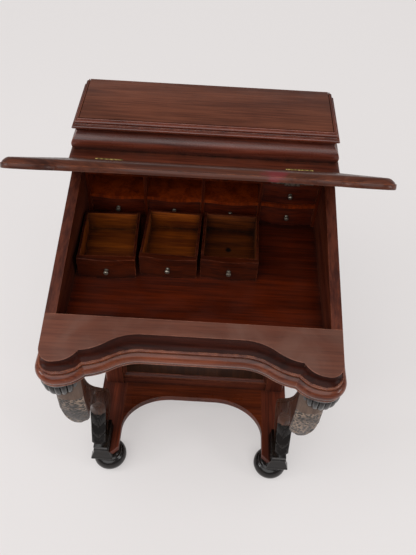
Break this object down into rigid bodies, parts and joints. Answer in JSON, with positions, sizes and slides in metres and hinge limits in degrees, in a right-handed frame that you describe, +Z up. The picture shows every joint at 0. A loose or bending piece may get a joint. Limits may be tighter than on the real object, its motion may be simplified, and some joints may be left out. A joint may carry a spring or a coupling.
{
  "type": "davenport desk",
  "caption": "Small writing desk with a hinged serpentine slope over a well, a lidded stationery box, a pedestal of side drawers and scroll legs on a footed platform.",
  "frame": {"origin": "on the floor, under the middle of the desk's bounding box", "axes": "+X to the sitter's right, where the side drawers open; +Y to the back, away from the sitter; +Z up"},
  "size_m": [0.612, 0.666, 1.0982],
  "materials": {
    "mahogany": "French-polished mahogany, worn on edges",
    "carved_mahogany": "carved mahogany, dark in the hollows, worn on the knees",
    "ebonised_wood": "near-black polished wood",
    "well_mahogany": "satin red mahogany",
    "small_drawer": "satin mahogany, ink-stained inside",
    "drawer_lining": "unpolished lining wood",
    "brass": "aged brass",
    "pewter": "dull white metal"
  },
  "bodies": {
    "carcase": {"platform_board": "mahogany", "platform_runners": "mahogany", "bun_feet": "ebonised_wood", "pedestal_posts": "mahogany", "pedestal_side": "mahogany", "pedestal_back": "mahogany", "front_panel_rails": "mahogany", "front_panel": "mahogany", "front_panel_beads": "mahogany", "drawer_blades": "mahogany", "drawer_runners": "drawer_lining", "sham_drawer_fronts": "mahogany", "desk_side_left": "mahogany", "desk_side_right": "mahogany", "desk_back": "mahogany", "desk_bottom": "drawer_lining", "well_floor": "well_mahogany", "front_rail": "mahogany", "desk_moulding": "mahogany", "nest_shelves": "well_mahogany", "nest_frame": "well_mahogany", "nest_catch": "pewter", "rear_board": "mahogany", "slope_hinge_fixed_leaves": "brass", "stationery_box_front": "mahogany", "stationery_box_ends": "mahogany", "stationery_box_back": "mahogany", "box_hinge_fixed_leaves": "brass", "leg_right": "carved_mahogany", "leg_left": "carved_mahogany", "leg_capitals": "ebonised_wood", "leg_foot_blocks": "ebonised_wood"},
    "writing_slope": {"slope_board": "mahogany", "slope_hinge_moving_leaves": "brass"},
    "stationery_lid": {"stationery_lid": "mahogany", "box_hinge_moving_leaves": "brass"},
    "side_drawer_1": {"side_drawer_1_front": "mahogany", "side_drawer_1_box": "drawer_lining"},
    "side_drawer_2": {"side_drawer_2_front": "mahogany", "side_drawer_2_box": "drawer_lining"},
    "side_drawer_3": {"side_drawer_3_front": "mahogany", "side_drawer_3_box": "drawer_lining"},
    "side_drawer_4": {"side_drawer_4_front": "mahogany", "side_drawer_4_box": "drawer_lining"},
    "lower_drawer_1": {"lower_drawer_1": "small_drawer", "lower_drawer_1_knob": "pewter"},
    "lower_drawer_2": {"lower_drawer_2": "small_drawer", "lower_drawer_2_knob": "pewter"},
    "lower_drawer_3": {"lower_drawer_3": "small_drawer", "lower_drawer_3_knob": "pewter"},
    "lower_drawer_4": {"lower_drawer_4": "small_drawer", "lower_drawer_4_knob": "pewter"},
    "upper_drawer_4": {"upper_drawer_4": "small_drawer", "upper_drawer_4_knob": "pewter"},
    "loose_drawer_1": {"loose_drawer_1": "small_drawer", "loose_drawer_1_knob": "pewter"},
    "loose_drawer_2": {"loose_drawer_2": "small_drawer", "loose_drawer_2_knob": "pewter"},
    "loose_drawer_3": {"loose_drawer_3": "small_drawer", "loose_drawer_3_knob": "pewter"}
  },
  "joints": [
    {"name": "slope_hinge", "type": "hinge", "parent": "carcase", "child": "writing_slope", "pos_m": [0, 0.129, 0.815], "axis": [-1, 0, 0], "range_deg": [-51.9, 66]},
    {"name": "stationery_lid_hinge", "type": "hinge", "parent": "carcase", "child": "stationery_lid", "pos_m": [0, 0.3298, 0.869], "axis": [-1, 0, 0], "range_deg": [0, 95]},
    {"name": "side_drawer_1_slide", "type": "slide", "parent": "carcase", "child": "side_drawer_1", "axis": [1, 0, 0], "range_m": [0, 0.36]},
    {"name": "side_drawer_2_slide", "type": "slide", "parent": "carcase", "child": "side_drawer_2", "axis": [1, 0, 0], "range_m": [0, 0.36]},
    {"name": "side_drawer_3_slide", "type": "slide", "parent": "carcase", "child": "side_drawer_3", "axis": [1, 0, 0], "range_m": [0, 0.36]},
    {"name": "side_drawer_4_slide", "type": "slide", "parent": "carcase", "child": "side_drawer_4", "axis": [1, 0, 0], "range_m": [0, 0.36]},
    {"name": "lower_drawer_1_slide", "type": "slide", "parent": "carcase", "child": "lower_drawer_1", "axis": [0, -1, 0], "range_m": [0, 0.028]},
    {"name": "lower_drawer_2_slide", "type": "slide", "parent": "carcase", "child": "lower_drawer_2", "axis": [0, -1, 0], "range_m": [0, 0.017]},
    {"name": "lower_drawer_3_slide", "type": "slide", "parent": "carcase", "child": "lower_drawer_3", "axis": [0, -1, 0], "range_m": [0, 0.015]},
    {"name": "lower_drawer_4_slide", "type": "slide", "parent": "carcase", "child": "lower_drawer_4", "axis": [0, -1, 0], "range_m": [0, 0.13]},
    {"name": "upper_drawer_4_slide", "type": "slide", "parent": "carcase", "child": "upper_drawer_4", "axis": [0, -1, 0], "range_m": [0, 0.13]},
    {"name": "loose_drawer_1_lift", "type": "slide", "parent": "carcase", "child": "loose_drawer_1", "axis": [0, 0, 1], "range_m": [0, 0.1]},
    {"name": "loose_drawer_2_lift", "type": "slide", "parent": "carcase", "child": "loose_drawer_2", "axis": [0, 0, 1], "range_m": [0, 0.1]},
    {"name": "loose_drawer_3_lift", "type": "slide", "parent": "carcase", "child": "loose_drawer_3", "axis": [0, 0, 1], "range_m": [0, 0.1]}
  ]
}
